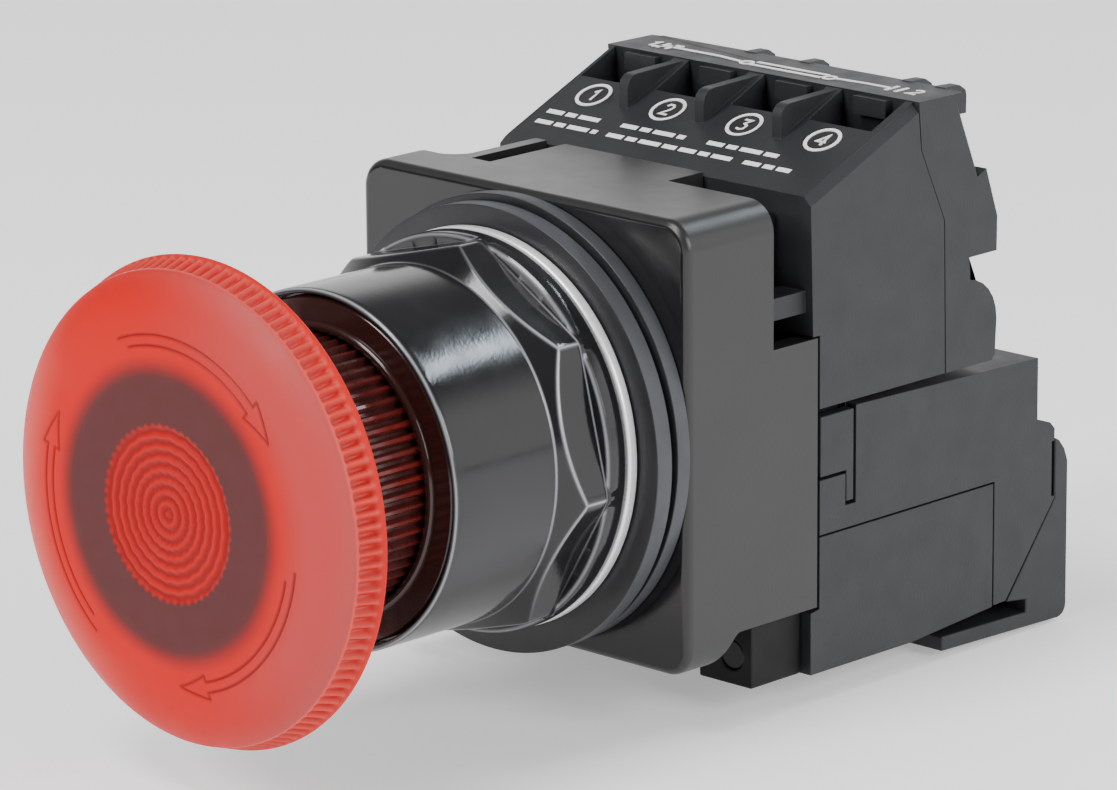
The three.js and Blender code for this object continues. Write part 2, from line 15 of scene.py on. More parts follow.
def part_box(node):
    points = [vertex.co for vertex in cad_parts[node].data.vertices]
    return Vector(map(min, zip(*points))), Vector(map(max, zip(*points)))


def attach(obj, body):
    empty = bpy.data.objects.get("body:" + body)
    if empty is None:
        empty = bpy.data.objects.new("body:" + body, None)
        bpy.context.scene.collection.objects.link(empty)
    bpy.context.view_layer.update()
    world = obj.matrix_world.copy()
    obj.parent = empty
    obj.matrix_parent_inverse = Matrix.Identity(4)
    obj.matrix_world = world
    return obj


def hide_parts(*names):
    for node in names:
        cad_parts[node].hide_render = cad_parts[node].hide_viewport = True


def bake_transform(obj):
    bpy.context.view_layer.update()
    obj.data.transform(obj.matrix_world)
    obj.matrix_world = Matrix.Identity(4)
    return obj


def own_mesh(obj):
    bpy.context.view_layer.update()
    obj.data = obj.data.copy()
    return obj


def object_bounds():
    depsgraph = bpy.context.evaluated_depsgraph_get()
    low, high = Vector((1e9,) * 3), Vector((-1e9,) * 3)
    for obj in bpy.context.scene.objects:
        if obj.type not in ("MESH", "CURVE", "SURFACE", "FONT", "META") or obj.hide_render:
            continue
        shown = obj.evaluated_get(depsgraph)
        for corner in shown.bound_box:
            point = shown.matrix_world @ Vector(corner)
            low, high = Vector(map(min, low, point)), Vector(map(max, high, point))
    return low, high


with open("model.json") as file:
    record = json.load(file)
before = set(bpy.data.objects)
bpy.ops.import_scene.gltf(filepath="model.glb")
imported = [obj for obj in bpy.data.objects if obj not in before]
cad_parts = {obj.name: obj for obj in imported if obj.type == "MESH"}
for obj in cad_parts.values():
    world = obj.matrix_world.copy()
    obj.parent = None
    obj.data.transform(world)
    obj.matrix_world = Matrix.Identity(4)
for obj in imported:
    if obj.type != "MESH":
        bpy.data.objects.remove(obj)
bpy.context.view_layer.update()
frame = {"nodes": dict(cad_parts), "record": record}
MM = 0.001
TAU = 2 * math.pi


def limits(node):
    """Lowest and highest corner of a CAD node in millimetres."""
    low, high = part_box(node)
    return low / MM, high / MM


# ------------------------------------------------------------------ camera
def place_camera():
    """The camera stands to the front right, slightly above, with a long lens."""
    azimuth, elevation, roll = (math.radians(a) for a in (44.0, 14.94, -0.41))
    target = Vector((3.45, 1.45, 2.48)) * MM
    distance = 605.7 * MM
    back = Vector((math.sin(azimuth) * math.cos(elevation),
                   -math.cos(azimuth) * math.cos(elevation), math.sin(elevation)))
    right = Vector((math.cos(azimuth), math.sin(azimuth), 0))
    up = back.cross(right)
    tilted_right = right * math.cos(roll) + up * math.sin(roll)
    tilted_up = up * math.cos(roll) - right * math.sin(roll)
    data = bpy.data.cameras.new("camera")
    data.sensor_width = 36.0
    data.lens = 204.9
    data.clip_start = 0.01
    camera = bpy.data.objects.new("camera", data)
    bpy.context.scene.collection.objects.link(camera)
    turn = Matrix((tilted_right, tilted_up, back)).transposed().to_4x4()
    camera.matrix_world = Matrix.Translation(target + back * distance) @ turn
    bpy.context.scene.camera = camera


place_camera()


# ------------------------------------------------------------------ materials
def noise(nodes, links, coords, size, detail, stretch=(1, 1, 1)):
    """Noise whose features are about size millimetres across."""
    mapping = nodes.new("ShaderNodeMapping")
    mapping.inputs["Scale"].default_value = [s / (size * MM) for s in stretch]
    links.new(coords.outputs["Object"], mapping.inputs["Vector"])
    texture = nodes.new("ShaderNodeTexNoise")
    texture.inputs["Scale"].default_value = 1.0
    texture.inputs["Detail"].default_value = detail
    links.new(mapping.outputs["Vector"], texture.inputs["Vector"])
    return texture


def ramp(nodes, stops):
    """A colour ramp from (position, colour) stops."""
    node = nodes.new("ShaderNodeValToRGB")
    elements = node.color_ramp.elements
    while len(elements) < len(stops):
        elements.new(0.5)
    for element, (position, colour) in zip(elements, stops):
        element.position = position
        element.color = (*colour, 1)
    return node


def shade(colour, factor):
    """A colour made lighter or darker."""
    return tuple(min(1.0, c * factor) for c in colour)


def span(nodes, links, value, source, target, kind="SMOOTHSTEP"):
    """Maps a value from one (low, high) interval to another."""
    node = nodes.new("ShaderNodeMapRange")
    node.interpolation_type = kind
    for name, number in zip(("From Min", "From Max", "To Min", "To Max"), (*source, *target)):
        node.inputs[name].default_value = number
    links.new(value, node.inputs["Value"])
    return node.outputs["Result"]


def surface(name, colour, rough, spread=0.06, mottle=0.08, blotch=5.0, grain=0.0, grain_size=0.25,
            stretch=(1, 1, 1), **sockets):
    """A procedural plastic, rubber or metal: clouded colour, varied roughness and a fine grain."""
    material = bpy.data.materials.new(name)
    material.use_nodes = True
    nodes, links = material.node_tree.nodes, material.node_tree.links
    shader = nodes["Principled BSDF"]
    coords = nodes.new("ShaderNodeTexCoord")
    low, high = 0.3, 0.7                  # the range that nearly all of the noise lies in
    cloud = noise(nodes, links, coords, blotch, 4.0)
    tint = ramp(nodes, [(low, shade(colour, 1 - mottle)), (high, shade(colour, 1 + mottle))])
    links.new(cloud.outputs["Fac"], tint.inputs["Fac"])
    links.new(tint.outputs["Color"], shader.inputs["Base Color"])
    wear = noise(nodes, links, coords, blotch * 0.4, 3.0, stretch)
    roughness = span(nodes, links, wear.outputs["Fac"], (low, high),
                     (max(0.02, rough - spread), rough + spread), "LINEAR")
    links.new(roughness, shader.inputs["Roughness"])
    if grain:
        fine = noise(nodes, links, coords, grain_size, 3.0, stretch)
        bump = nodes.new("ShaderNodeBump")
        bump.inputs["Strength"].default_value = grain
        bump.inputs["Distance"].default_value = 0.04 * MM
        links.new(fine.outputs["Fac"], bump.inputs["Height"])
        links.new(bump.outputs["Normal"], shader.inputs["Normal"])
    for socket, value in sockets.items():
        shader.inputs[socket.replace("_", " ")].default_value = value
    return material


def painted(material, tints):
    """Lays (attribute, colour) tints over a material, each as strong as the mesh attribute says."""
    nodes, links = material.node_tree.nodes, material.node_tree.links
    base = nodes["Principled BSDF"].inputs["Base Color"]
    colour = base.links[0].from_socket
    for name, tint in tints:
        strength = nodes.new("ShaderNodeAttribute")
        strength.attribute_name = name
        mix = nodes.new("ShaderNodeMix")
        mix.data_type = "RGBA"
        links.new(strength.outputs["Fac"], mix.inputs["Factor"])
        links.new(colour, mix.inputs["A"])
        mix.inputs["B"].default_value = (*tint, 1)
        colour = mix.outputs["Result"]
    links.new(colour, base)
    return material


# Frosted red plastic with painted light: painted light shining through, a painted sheen with shade,
# painted highlights, painted shade in the grooves, and a ring of painted shade where the dark neck
# behind shows through.
LENS_RED = painted(surface("frosted_red", (0.5, 0.004, 0.0025), 0.5, spread=0.05, mottle=0.06,
                           blotch=6.0, grain=0.3, grain_size=0.18, Specular_IOR_Level=0.18),
                   [("painted_haze", (0.40, 0.062, 0.06)), ("painted_glow", (0.54, 0.0025, 0.0005)),
                    ("painted_highlight", (0.66, 0.11, 0.09)), ("painted_neck_shade", (0.05, 0.019, 0.019)),
                    ("groove", (0.15, 0.004, 0.004))])
# Dark red plastic with a painted highlight on its ridges.
SKIRT_RED = painted(surface("dark_red_skirt", (0.045, 0.009, 0.008), 0.3, spread=0.05, mottle=0.3,
                            blotch=2.0, grain=0.15, Coat_Weight=0.2),
                    [("ridge", (0.17, 0.010, 0.007))])
# Gloss black with a painted highlight as a light line along the nut's edges.
NUT_BLACK = painted(surface("gloss_black_nut", (0.009, 0.009, 0.01), 0.13, spread=0.05, mottle=0.15,
                            blotch=8.0, grain=0.16, grain_size=0.35),
                    [("edge", (0.42, 0.43, 0.46))])
GLOSS_BLACK = surface("gloss_black_moulding", (0.009, 0.009, 0.01), 0.17, spread=0.05, mottle=0.15,
                      blotch=8.0, grain=0.12, grain_size=0.5)
SATIN_BLACK = surface("satin_black_side", (0.015, 0.015, 0.0145), 0.34, spread=0.02, mottle=0.08,
                      blotch=9.0, grain=0.3, grain_size=0.2)
MATTE_GREY = surface("matte_grey_moulding", (0.017, 0.018, 0.0202), 0.5, spread=0.05, mottle=0.08,
                     blotch=7.0, Specular_IOR_Level=0.38, grain=0.6, grain_size=0.22)
DARK_PLASTIC = surface("dark_moulding", (0.005, 0.005, 0.005), 0.5, grain=0.3,
                       Specular_IOR_Level=0.2)
# A lighter copy of the gasket rubber for the round sides: painted light, standing in for the light
# that falls on them.
RUBBER_LIT_SIDE = surface("gasket_rubber_lit_side", (0.045, 0.047, 0.053), 0.6, spread=0.06, mottle=0.12,
                      grain=0.4, grain_size=0.3)
RUBBER = surface("gasket_rubber", (0.012, 0.0125, 0.0145), 0.42, spread=0.05, mottle=0.12,
                 grain=0.5, grain_size=0.3)
SEAL = surface("mouth_seal", (0.028, 0.008, 0.0065), 0.16, spread=0.05, mottle=0.1, grain=0.1)
STEEL = surface("zinc_plated_steel", (0.92, 0.92, 0.91), 0.34, spread=0.06, mottle=0.05, blotch=1.5,
                grain=0.2, grain_size=0.25, Metallic=1.0)
WASHER = surface("bright_zinc_washer", (0.92, 0.925, 0.93), 0.33, spread=0.06, mottle=0.05,
                 blotch=1.0, grain=0.25, grain_size=0.2, Metallic=0.45)
BLACKENED = surface("blackened_steel", (0.02, 0.02, 0.021), 0.35, grain=0.2, Metallic=0.6)
BRASS = surface("plain_brass", (0.72, 0.52, 0.24), 0.32, grain=0.2, Metallic=1.0)
SILVER = surface("silver_contact", (0.8, 0.8, 0.77), 0.28, grain=0.2, Metallic=1.0)
CREAM = surface("cream_insulator", (0.66, 0.6, 0.46), 0.45, grain=0.2)
COPPER = surface("enamelled_copper", (0.5, 0.2, 0.08), 0.3, grain=0.6, grain_size=0.35,
                 stretch=(0.1, 0.1, 1), Metallic=0.7)
GLASS = surface("lamp_glass", (0.95, 0.96, 0.97), 0.04, spread=0.02, mottle=0.02,
                Transmission_Weight=0.9)
PRINT = surface("white_print", (0.86, 0.86, 0.84), 0.5, mottle=0.06, blotch=0.6)
FLOOR = surface("pale_floor", (0.9, 0.9, 0.9), 0.6, mottle=0.01, blotch=200.0,
                Emission_Color=(1, 1, 1, 1), Emission_Strength=0.4)


# ------------------------------------------------------------------ mesh helpers
def place(mesh, name, material, body, stands_for=(), sharp=35.0):
    """Makes a finished piece from a mesh: shading, material, body and replaced nodes."""
    obj = bpy.data.objects.new(name, mesh)
    bpy.context.scene.collection.objects.link(obj)
    if not mesh.materials:
        mesh.materials.append(material)
    mesh.shade_smooth()
    mesh.set_sharp_from_angle(angle=math.radians(sharp))
    if body:
        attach(obj, body)
    if stands_for:
        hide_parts(*stands_for)
    return obj


def mesh_from(name, points, faces):
    """A mesh from millimetre points, with its faces turned outwards."""
    mesh = bpy.data.meshes.new(name)
    mesh.from_pydata([Vector(p) * MM for p in points], [], faces)
    shell = bmesh.new()
    shell.from_mesh(mesh)
    bmesh.ops.recalc_face_normals(shell, faces=shell.faces)
    shell.to_mesh(mesh)
    shell.free()
    return mesh


def revolve(name, profile, segments, warp=None, centre=(0, 0)):
    """Turns a (radius, y) profile about the button axis; warp may move each point."""
    points, rings, faces = [], [], []
    for radius, y in profile:
        count = 1 if radius < 1e-6 else segments
        rings.append([len(points) + k for k in range(count)])
        for k in range(count):
            angle = TAU * k / segments
            r, h = warp(radius, y, angle) if warp else (radius, y)
            points.append((centre[0] + r * math.cos(angle), h, centre[1] + r * math.sin(angle)))
    pairs = list(zip(rings, rings[1:]))
    if len(rings[0]) > 1:
        pairs.append((rings[-1], rings[0]))
    for a, b in pairs:
        for k in range(segments):
            n = (k + 1) % segments
            if len(a) == 1:
                faces.append((a[0], b[n], b[k]))
            elif len(b) == 1:
                faces.append((a[k], a[n], b[0]))
            else:
                faces.append((a[k], a[n], b[n], b[k]))
    return mesh_from(name, points, faces)


def soften(points, radius, closed=True):
    """Rounds the corners of an outline with short curves."""
    steps = 3
    rounded = []
    count = len(points)
    for i, point in enumerate(points):
        if not closed and i in (0, count - 1):
            rounded.append(tuple(point))
            continue
        here = Vector(point)
        ends = [Vector(points[i - 1]) - here, Vector(points[(i + 1) % count]) - here]
        a, b = (here + end.normalized() * min(radius, 0.45 * end.length) for end in ends)
        for k in range(steps + 1):
            t = k / steps
            rounded.append(tuple(a * (1 - t) ** 2 + here * (2 * t * (1 - t)) + b * t ** 2))
    return rounded


def smooth_step(low, high, value):
    """0 below low, 1 above high, an even S curve between."""
    t = min(1.0, max(0.0, (value - low) / (high - low)))
    return t * t * (3 - 2 * t)


def soft_min(a, b, width):
    """The smaller of two lengths, with a rounded crossing."""
    h = max(width - abs(a - b), 0.0) / width
    return min(a, b) - h * h * width / 4


def soft_max(a, b, width):
    """The larger of two lengths, with a rounded crossing."""
    return -soft_min(-a, -b, width)


def prism(name, outline, axis, start, stop):
    """Extrudes an outline along an axis: x takes (y, z), y takes (x, z), z takes (x, y)."""
    def at(u, v, w):
        return {"x": (w, u, v), "y": (u, w, v), "z": (u, v, w)}[axis]
    count = len(outline)
    points = [at(u, v, start) for u, v in outline] + [at(u, v, stop) for u, v in outline]
    faces = [tuple(range(count)), tuple(range(2 * count - 1, count - 1, -1))]
    for k in range(count):
        n = (k + 1) % count
        faces.append((k, n, count + n, count + k))
    return mesh_from(name, points, faces)


def block(name, low, high):
    """A box between two corners."""
    (x0, y0, z0), (x1, y1, z1) = low, high
    return prism(name, [(x0, z0), (x1, z0), (x1, z1), (x0, z1)], "y", y0, y1)


def store(mesh, name, values):
    """Writes one number per vertex as an attribute that a material can read."""
    mesh.attributes.new(name, "FLOAT", "POINT").data.foreach_set("value", values)


def loose(mesh):
    """A throwaway object for a boolean."""
    obj = bpy.data.objects.new("cutter", mesh)
    bpy.context.scene.collection.objects.link(obj)
    return obj


def carve(mesh, cutters):
    """The mesh with each cutter mesh taken out of it."""
    body = loose(mesh)
    tools = [loose(cutter) for cutter in cutters]
    for tool in tools:
        modifier = body.modifiers.new("carve", "BOOLEAN")
        modifier.operation = "DIFFERENCE"
        modifier.solver = "EXACT"
        modifier.object = tool
    graph = bpy.context.evaluated_depsgraph_get()
    result = bpy.data.meshes.new_from_object(body.evaluated_get(graph))
    for obj in [body, *tools]:
        bpy.data.objects.remove(obj)
    return result


def flatten_faces(mesh):
    """Joins coplanar triangles, so that a bevel sees only the real edges."""
    same_point, same_plane = 0.002 * MM, math.radians(0.6)
    shell = bmesh.new()
    shell.from_mesh(mesh)
    bmesh.ops.remove_doubles(shell, verts=shell.verts, dist=same_point)
    bmesh.ops.dissolve_limit(shell, angle_limit=same_plane, verts=shell.verts, edges=shell.edges)
    bmesh.ops.recalc_face_normals(shell, faces=shell.faces)
    shell.to_mesh(mesh)
    shell.free()


def bevel(obj, width, angle=32.0):
    """Rounds the hard edges of a moulding and keeps its flat faces flat."""
    modifier = obj.modifiers.new("edge_round", "BEVEL")
    modifier.width = width * MM
    modifier.segments = 3
    modifier.limit_method = "ANGLE"
    modifier.angle_limit = math.radians(angle)
    modifier.use_clamp_overlap = True
    modifier.harden_normals = False
    obj.modifiers.new("flat_normals", "WEIGHTED_NORMAL").keep_sharp = False
    return obj


def refine(node, name, material, body, width, grow=0.0, cuts=()):
    """A CAD node's own shape with rounded edges, grown over its parting gaps, cut by boxes."""
    mesh = frame["nodes"][node].data.copy()
    mesh.materials.clear()
    flatten_faces(mesh)
    if cuts:
        mesh = carve(mesh, [block("gap", low, high) for low, high in cuts])
        flatten_faces(mesh)
    shift = [vertex.co + vertex.normal * grow * MM for vertex in mesh.vertices]
    for vertex, point in zip(mesh.vertices, shift):
        vertex.co = point
    return bevel(place(mesh, name, material, body, [node], sharp=60), width)


# ------------------------------------------------------------------ mushroom head
HEAD_LOW, HEAD_HIGH = limits("mushroom_lens")
HEAD_R = HEAD_HIGH.x
HEAD_FRONT = HEAD_LOW.y
RIM_Y = HEAD_FRONT + 5.1                 # widest plane, at the rear end of the knurl
KNURL_RISE = 0.9                         # how much wider the knurl is at its rear end
KNURL_LENGTH = 2.75
FACE_R = HEAD_R - KNURL_RISE             # front end of the knurl
KNURL_TEETH = 120
LENS_R = 8.3                             # the ringed lens in the centre
LENS_RINGS = 8
ARROW_R = 16.1                           # the circle that the engraved arrows lie on
ARROW_WIDTH = 0.13                       # width of an engraved line
ARROW_SPAN = math.radians(78)
ARROW_TAILS = [math.radians(a) for a in (112, -8, -128)]


def arrow_lines():
    """The outline of one arrow as segments in (distance along the arc, height off it)."""
    length = ARROW_R * ARROW_SPAN
    neck, half, barb = length - 3.6, 0.5, 1.15
    outline = [(0, half), (neck, half), (neck, barb), (length, 0), (neck, -barb), (neck, -half),
               (1.2, -half)]
    return list(zip(outline, outline[1:]))


ARROW_LINES = arrow_lines()


def distance_to(segment, u, v):
    """Distance from a point to a segment."""
    (ax, ay), (bx, by) = segment
    dx, dy = bx - ax, by - ay
    t = max(0.0, min(1.0, ((u - ax) * dx + (v - ay) * dy) / (dx * dx + dy * dy)))
    return math.hypot(u - ax - t * dx, v - ay - t * dy)


def groove(radius, angle):
    """1 in the middle of an engraved arrow line, 0 away from it."""
    if abs(radius - ARROW_R) > 1.7:
        return 0.0
    for tail in ARROW_TAILS:
        along = (tail - angle) % TAU
        if along > ARROW_SPAN + 0.05 and along < TAU - 0.05:
            continue
        along = along - TAU if along > TAU - 0.05 else along
        gap = min(distance_to(s, along * ARROW_R, radius - ARROW_R) for s in ARROW_LINES)
        return math.exp(-(gap / ARROW_WIDTH) ** 2)
    return 0.0


def face_height(radius):
    """The gently domed front of the head: nearly flat, then rolling off to the rim."""
    return HEAD_FRONT + 2.3 * (radius / FACE_R) ** 9


def ring_wave(radius, angle):
    """The rings of the centre lens, a little serrated: 0 on a crest, 1 in a valley."""
    wobble = 0.05 * math.sin(24 * angle) * min(1.0, radius / 4)
    return 0.5 - 0.5 * math.cos(TAU * (radius + wobble) * LENS_RINGS / LENS_R)


def knurl_pocket(angle, y):
    """1 inside a pocket of the knurl, 0 on its ridges and on the smooth bands at both ends."""
    ridge = abs(math.cos(KNURL_TEETH * angle / 2)) ** 3
    front_end = smooth_step(RIM_Y - 2.6, RIM_Y - 2.3, y)
    rear_end = 1 - smooth_step(RIM_Y - 0.6, RIM_Y - 0.3, y)
    return (1 - ridge) * front_end * rear_end


def head_warp(radius, y, angle):
    """Sinks the arrows and the lens rings into the face and the pockets into the knurl."""
    arrow_depth, ring_depth, pocket_depth = 0.12, 0.22, 0.5
    if radius < FACE_R - 0.01 and y < face_height(radius) + 0.5:
        rings = ring_depth * ring_wave(radius, angle) if radius < LENS_R else 0.0
        return radius, y + arrow_depth * groove(radius, angle) + rings
    if radius < FACE_R - 0.6:
        return radius, y
    return radius - pocket_depth * knurl_pocket(angle, y), y


def head_tints(x, y, z):
    """How strong each tint of painted light is at a point of the head: groove shade, neck shade,
    light shining through, sheen with shade, and highlight.
    """
    radius, angle = math.hypot(x, z), math.atan2(z, x)
    if y > face_height(min(radius, FACE_R)) + 1.0 and radius < FACE_R - 0.3:
        return 0.0, 0.0, 0.0, 0.0, 0.0
    if radius > FACE_R - 0.02:
        # Knurl: painted shade and painted light shining through in the pockets, the same painted
        # light on the rear band, a painted highlight on the ridges.
        pocket = knurl_pocket(angle, y)
        band = smooth_step(RIM_Y - 0.5, RIM_Y - 0.2, y)
        return 0.3 * pocket, 0.0, max(pocket, band), 0.0, 0.5 * (1 - pocket) * (1 - band)
    # Painted shade in the engraved arrow grooves and in the valleys of the lens rings.
    groove_shade = 0.78 * groove(radius, angle)
    if radius < LENS_R:
        groove_shade = 0.16 + 0.62 * ring_wave(radius, angle) ** 1.5
    # A ring of painted shade where the dark neck behind shows through the lens.
    edge = LENS_R - 0.1 + 0.12 * math.sin(54 * angle)
    painted_neck_shade = 0.93 * smooth_step(edge - 0.25, edge + 0.3, radius)
    painted_neck_shade *= 1 - smooth_step(12.6, 15.0, radius)
    # The left side is taken as lit: painted light shining through there, and a painted sheen with
    # shade on the right side and at the rim.
    lit = 1 - smooth_step(-0.35, 0.75, math.cos(angle - math.radians(12)))
    painted_glow = smooth_step(12.8, 15.4, radius) * (1 - smooth_step(19.5, 23.0, radius))
    painted_glow *= 0.2 + 0.8 * lit
    painted_haze = 0.8 * (1 - lit) * smooth_step(14.0, 18.5, radius)
    painted_haze += 0.1 * smooth_step(20.5, 22.2, radius)
    # A painted highlight near the lower left edge of the face.
    painted_highlight = smooth_step(0.45, 0.95, math.cos(angle + math.radians(165)))
    painted_highlight *= 0.5 * smooth_step(16.0, 20.5, radius)
    return groove_shade, painted_neck_shade, painted_glow, min(1.0, painted_haze), painted_highlight


def build_head():
    """The mushroom head: rings of points close together wherever the relief is fine."""
    pitch = LENS_R / LENS_RINGS
    radii = [0.0] + [pitch * (i + k / 6) for i in range(LENS_RINGS) for k in range(1, 7)]
    radii[-1] -= 0.001
    radii += [LENS_R + 0.08 * k for k in range(1, 5)]
    radii += [LENS_R + 0.35 + 0.6 * k for k in range(1, 10)]
    radii += [14.4 + 0.1 * k for k in range(34)]
    radii += [17.9 + 0.35 * k for k in range(12)]
    profile = [(r, face_height(r)) for r in radii]
    profile += [(FACE_R - 0.05, RIM_Y - 2.9), (FACE_R, RIM_Y - KNURL_LENGTH)]
    profile += [(FACE_R + KNURL_RISE * t, RIM_Y - KNURL_LENGTH + KNURL_LENGTH * t)
                for t in (0.05, 0.08, 0.13, 0.18, 0.5, 0.76, 0.83, 0.9, 1.0)]
    profile += [(HEAD_R - 0.06, RIM_Y + 0.2), (HEAD_R - 0.35, RIM_Y + 0.45),
                (HEAD_R - 1.1, RIM_Y + 0.65)]
    profile += [(20.7, RIM_Y + 0.8), (20.7, RIM_Y - 1.6), (19.6, RIM_Y - 2.0), (17, RIM_Y - 2.4),
                (0, HEAD_FRONT + 2.6)]
    mesh = revolve("red_head", profile, KNURL_TEETH * 6, head_warp)
    tints = zip(*(head_tints(*(vertex.co / MM)) for vertex in mesh.vertices))
    for name, values in zip(("groove", "painted_neck_shade", "painted_glow", "painted_haze", "painted_highlight"), tints):
        store(mesh, name, values)
    place(mesh, "red_head", LENS_RED, "head", ["mushroom_lens"], sharp=50)


def build_skirt():
    """The fluted dark red tube behind the head, with the flange that closes the head."""
    low, high = limits("lens_skirt")
    tube, flutes, depth = 13.1, 64, 0.5

    def warp(radius, y, angle):
        if abs(radius - tube) > 0.3 or y < -38.5:
            return radius, y
        along = smooth_step(-38.2, -37.4, y) * (1 - smooth_step(-20, -19, y))
        return radius - depth * along * smooth_step(-0.35, 0.35, math.cos(flutes * angle)), y

    profile = [(20.4, low.y), (20.4, low.y + 1.7), (14.2, low.y + 2.4), (13.5, low.y + 2.8),
               (tube, low.y + 3.3)]
    profile += [(tube, -37.9 + 0.5 * k) for k in range(3)]
    profile += [(tube, y) for y in (-35, -33, -31, -29.5, -28, -20, -19)]
    profile += [(tube, high.y), (12.4, high.y), (12.4, low.y)]
    mesh = revolve("fluted_skirt", profile, flutes * 8, warp)
    ridges = []
    for vertex in mesh.vertices:
        x, y, z = vertex.co / MM
        angle = math.atan2(z, x)
        # A painted highlight on the ridges, uneven around the tube and stronger towards the mouth.
        light = 0.35 + 0.3 * math.sin(3 * angle + 0.8) + 0.2 * math.sin(17 * angle + 0.7 * y)
        on_ridge = smooth_step(tube - 0.3, tube, math.hypot(x, z)) if y > -38 else 0.3
        ridges.append(max(0.0, light) * on_ridge * (0.35 + 0.65 * smooth_step(-35, -28, y)))
    store(mesh, "ridge", ridges)
    place(mesh, "fluted_skirt", SKIRT_RED, "head", ["lens_skirt"], sharp=45)


# ------------------------------------------------------------------ nut, washer, gaskets
NUT_FLAT = 18.1                           # from the axis to a flat of the octagon
NUT_TURN = math.radians(-8.5)
NUT_CONE = 30.7                           # the chamfer cone's radius at y = 0
NUT_SHOULDER = -8.4                       # rear end of the octagon
BARREL_R = 17.36
LEDGE_R = 17.5                            # marks the ring just outside the rear edge of the octagon
NUT_FRONT = limits("ring_nut")[0].y


def facings(angle):
    """How squarely an angle faces each flat of the octagon."""
    return [math.cos(angle - NUT_TURN - TAU * (k + 0.5) / 8) for k in range(8)]


def nut_radius(y, angle):
    """Outer radius of the ring nut: a barrel, and an octagon chamfered by a cone."""
    sharpness = 90                        # a high power keeps the octagon's corners crisp
    total = sum(max(f, 0.0) ** sharpness for f in facings(angle))
    octagon = NUT_FLAT * total ** (-1 / sharpness)
    return soft_max(BARREL_R, soft_min(octagon, NUT_CONE + y, 0.2), 0.1)


def nut_edge_highlight(x, y, z):
    """1 where a painted highlight lies along the nut's edges, 0 away from them."""
    radius, angle = math.hypot(x, z), math.atan2(z, x)

    def line(distance, width):
        return math.exp(-(distance / width) ** 2)

    if y < -25:
        return 0.8 * line(radius - 17.22, 0.1) * line(y - NUT_FRONT - 0.1, 0.15)
    if y > -7.5 or y < -15.3 or radius < BARREL_R - 0.2:
        return 0.0
    if y > NUT_SHOULDER + 0.005:
        return 0.5 * line(radius - 19.15, 0.12)
    *_, second, first = sorted(facings(angle))
    octagon, cone = NUT_FLAT / first, NUT_CONE + y
    inner = line(min(octagon, cone) - BARREL_R, 0.07)
    crest = line(octagon - cone, 0.12)
    corner = line((first - second) * NUT_FLAT, 0.09) if octagon < cone else 0.0
    rear = line(y - NUT_SHOULDER, 0.06)
    # The painted highlight is brighter on some sides of the nut than on others.
    return max(inner, crest, corner, rear) * (0.55 + 0.45 * math.sin(2.3 * angle + 0.9))


def build_nut():
    """The ring nut in one piece: mouth rim, barrel, octagon and the ledge behind it."""
    low, high = limits("ring_nut")

    def warp(radius, y, angle):
        if NUT_SHOULDER < y < NUT_SHOULDER + 0.35:
            clear = nut_radius(NUT_SHOULDER, angle) + 0.1 + 0.1 * (y - NUT_SHOULDER)
            return (clear if radius == LEDGE_R else max(radius, clear)), y
        if radius > BARREL_R - 0.01 and -15.5 < y < NUT_SHOULDER + 0.01 and radius < 18.0:
            edge = 0.12 * smooth_step(NUT_SHOULDER - 0.3, NUT_SHOULDER, y)
            return nut_radius(y, angle) - edge, y
        return radius, y

    rim = [(16.8, 1.8), (16.8, 0.1), (16.86, 0), (16.96, 0), (17.11, 0.03), (17.24, 0.12),
           (17.33, 0.25), (BARREL_R - 0.01, 0.4)]
    profile = [(radius, low.y + depth) for radius, depth in rim]
    profile += [(BARREL_R, y) for y in (-25.5, -22, -18, -15.6)]
    profile += [(BARREL_R, -15.4 + 0.1 * k) for k in range(71)]
    ledge = [(LEDGE_R, 0.015), (18.3, 0.03), (18.9, 0.04), (19.15, 0.1), (19.35, 0.3), (19.4, 0.5)]
    profile += [(radius, NUT_SHOULDER + depth) for radius, depth in ledge]
    profile += [(19.4, high.y - 0.5), (19.3, high.y - 0.2), (19.05, high.y), (15.3, high.y),
                (15.3, low.y + 1.8)]
    mesh = revolve("octagon_nut", profile, 720, warp)
    store(mesh, "edge", [nut_edge_highlight(*(vertex.co / MM)) for vertex in mesh.vertices])
    place(mesh, "octagon_nut", NUT_BLACK, "root", ["ring_nut"], sharp=30)


